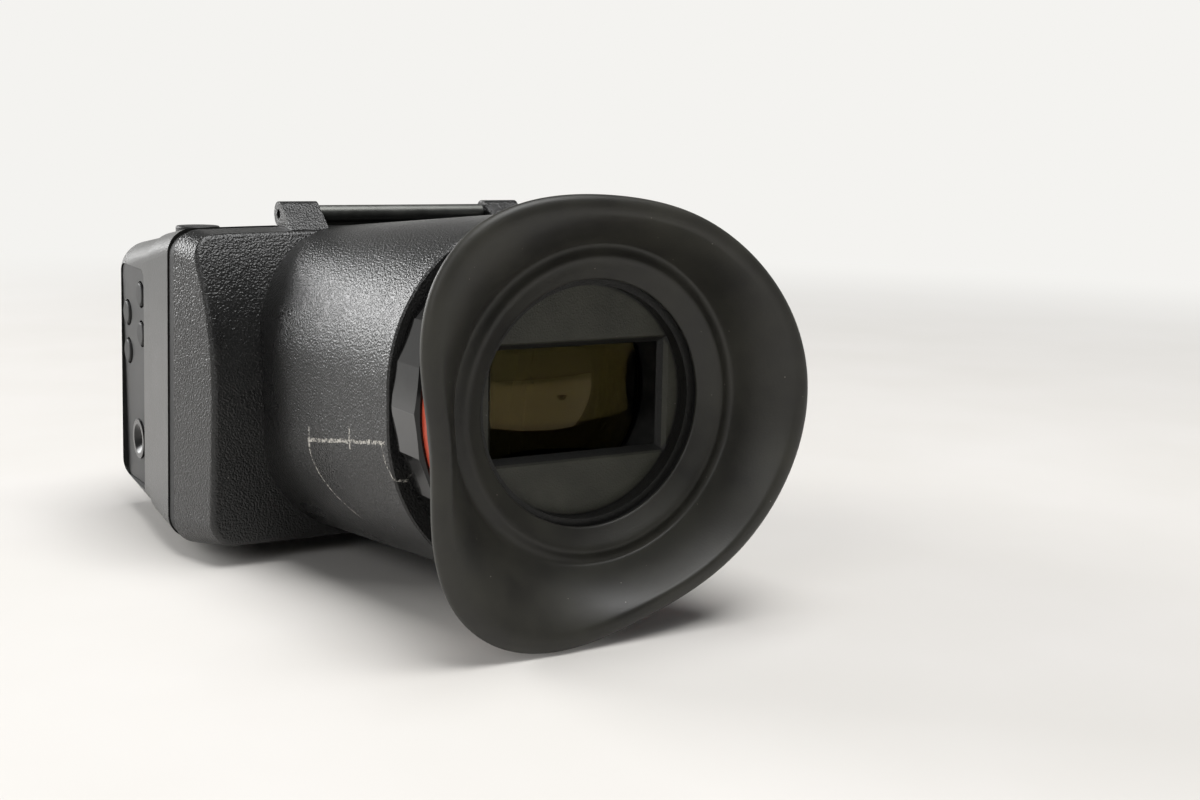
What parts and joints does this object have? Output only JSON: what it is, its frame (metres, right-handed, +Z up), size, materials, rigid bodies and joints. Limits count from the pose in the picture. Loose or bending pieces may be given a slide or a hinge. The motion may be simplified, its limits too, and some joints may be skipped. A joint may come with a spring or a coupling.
{
  "type": "electronic viewfinder",
  "caption": "Monitor-type electronic viewfinder with a flip-up magnifier, a turning focus ring that moves the lens and a soft flared eyecup on a rotating holder.",
  "frame": {"origin": "mouth of the tapped hole in the base plate, on the centre plane", "axes": "-Y towards the user's eye, +X towards the side with the sockets, +Z up"},
  "size_m": [0.1065, 0.1362, 0.0741],
  "materials": {
    "casing_plastic": "moulded, fine grain",
    "cover_plastic": "moulded, fine grain",
    "housing_plastic": "moulded, fine grain",
    "steel_sheet": "zinc-plated",
    "screw_steel": "black oxide",
    "keeper_steel": "nickel-plated",
    "pin_steel": "ground",
    "magnet_steel": "nickel-plated magnet",
    "screen_glass": "polished",
    "lcd": "unlit",
    "circuit_board": "solder mask",
    "plate_aluminium": "black anodised",
    "panel_plastic": "satin",
    "key_rubber": "matt",
    "switch_plastic": "moulded",
    "jack_plastic": "moulded",
    "button_plastic": "moulded",
    "socket_metal": "nickel-plated",
    "hinge_metal": "black anodised",
    "gasket_rubber": "matt",
    "barrel_aluminium": "black anodised",
    "mask_plastic": "fine grain",
    "ring_aluminium": "black anodised",
    "ring_plastic": "polished facets",
    "accent_red": "red lacquer",
    "cell_aluminium": "black anodised",
    "coated_glass": "coated",
    "holder_plastic": "moulded",
    "soft_rubber": "matt"
  },
  "bodies": {
    "monitor": {"front_frame": "casing_plastic", "rear_cover": "cover_plastic", "chassis_tray": "steel_sheet", "tray_screws": "screw_steel", "display_glass": "screen_glass", "lcd_panel": "lcd", "magnet_keepers": "keeper_steel", "main_board": "circuit_board", "rear_screws": "screw_steel", "base_plate": "plate_aluminium", "base_plate_screws": "screw_steel", "control_panel": "panel_plastic", "key_switches": "switch_plastic", "key_board": "circuit_board", "headphone_jack": "jack_plastic", "power_switch": "switch_plastic", "video_sockets": "socket_metal", "data_socket": "socket_metal", "power_socket": "jack_plastic", "hinge_bar": "hinge_metal", "hinge_screws": "screw_steel", "hinge_pin": "pin_steel"},
    "key_one": {"key_1": "key_rubber"},
    "key_two": {"key_2": "key_rubber"},
    "key_three": {"key_3": "key_rubber"},
    "key_four": {"key_4": "key_rubber"},
    "power_knob": {"power_button": "button_plastic"},
    "magnifier": {"magnifier_housing": "housing_plastic", "seam_gasket": "gasket_rubber", "magnets": "magnet_steel", "eyepiece_barrel": "barrel_aluminium", "barrel_screws": "screw_steel", "mask_plate": "mask_plastic", "retainer_ring": "ring_aluminium"},
    "focus": {"focus_ring": "ring_plastic", "accent_ring": "accent_red"},
    "lens": {"lens_cell": "cell_aluminium", "front_lens": "coated_glass", "rear_lens": "coated_glass", "lens_spacer": "cell_aluminium", "lock_ring": "cell_aluminium", "cam_pins": "pin_steel"},
    "cup": {"eyecup_holder": "holder_plastic", "eyecup": "soft_rubber"}
  },
  "joints": [
    {"name": "magnifier_flip", "type": "hinge", "parent": "monitor", "child": "magnifier", "pos_m": [0, -0.028, 0.0663], "axis": [-1, 0, 0], "range_deg": [0, 110]},
    {"name": "focus_turn", "type": "hinge", "parent": "magnifier", "child": "focus", "pos_m": [0, -0.0945, 0.0384], "axis": [0, 1, 0], "range_deg": [-50, 50]},
    {"name": "lens_travel", "type": "slide", "parent": "magnifier", "child": "lens", "axis": [0, -1, 0], "range_m": [-0.003, 0.003]},
    {"name": "cup_turn", "type": "hinge", "parent": "magnifier", "child": "cup", "pos_m": [0, -0.0945, 0.0384], "axis": [0, 1, 0], "continuous": true},
    {"name": "power_press", "type": "slide", "parent": "monitor", "child": "power_knob", "axis": [0, 0, -1], "range_m": [0, 0.0006], "stiffness_N_per_m": 2500, "springref_m": -0.0006},
    {"name": "key_1_press", "type": "slide", "parent": "monitor", "child": "key_one", "axis": [1, 0, 0], "range_m": [0, 0.0005], "stiffness_N_per_m": 2000, "springref_m": -0.0005},
    {"name": "key_2_press", "type": "slide", "parent": "monitor", "child": "key_two", "axis": [1, 0, 0], "range_m": [0, 0.0005], "stiffness_N_per_m": 2000, "springref_m": -0.0005},
    {"name": "key_3_press", "type": "slide", "parent": "monitor", "child": "key_three", "axis": [1, 0, 0], "range_m": [0, 0.0005], "stiffness_N_per_m": 2000, "springref_m": -0.0005},
    {"name": "key_4_press", "type": "slide", "parent": "monitor", "child": "key_four", "axis": [1, 0, 0], "range_m": [0, 0.0005], "stiffness_N_per_m": 2000, "springref_m": -0.0005}
  ],
  "couplings": [
    {"joint": "lens_travel", "follows": "focus_turn", "m_per_rad": 0.0034377}
  ]
}
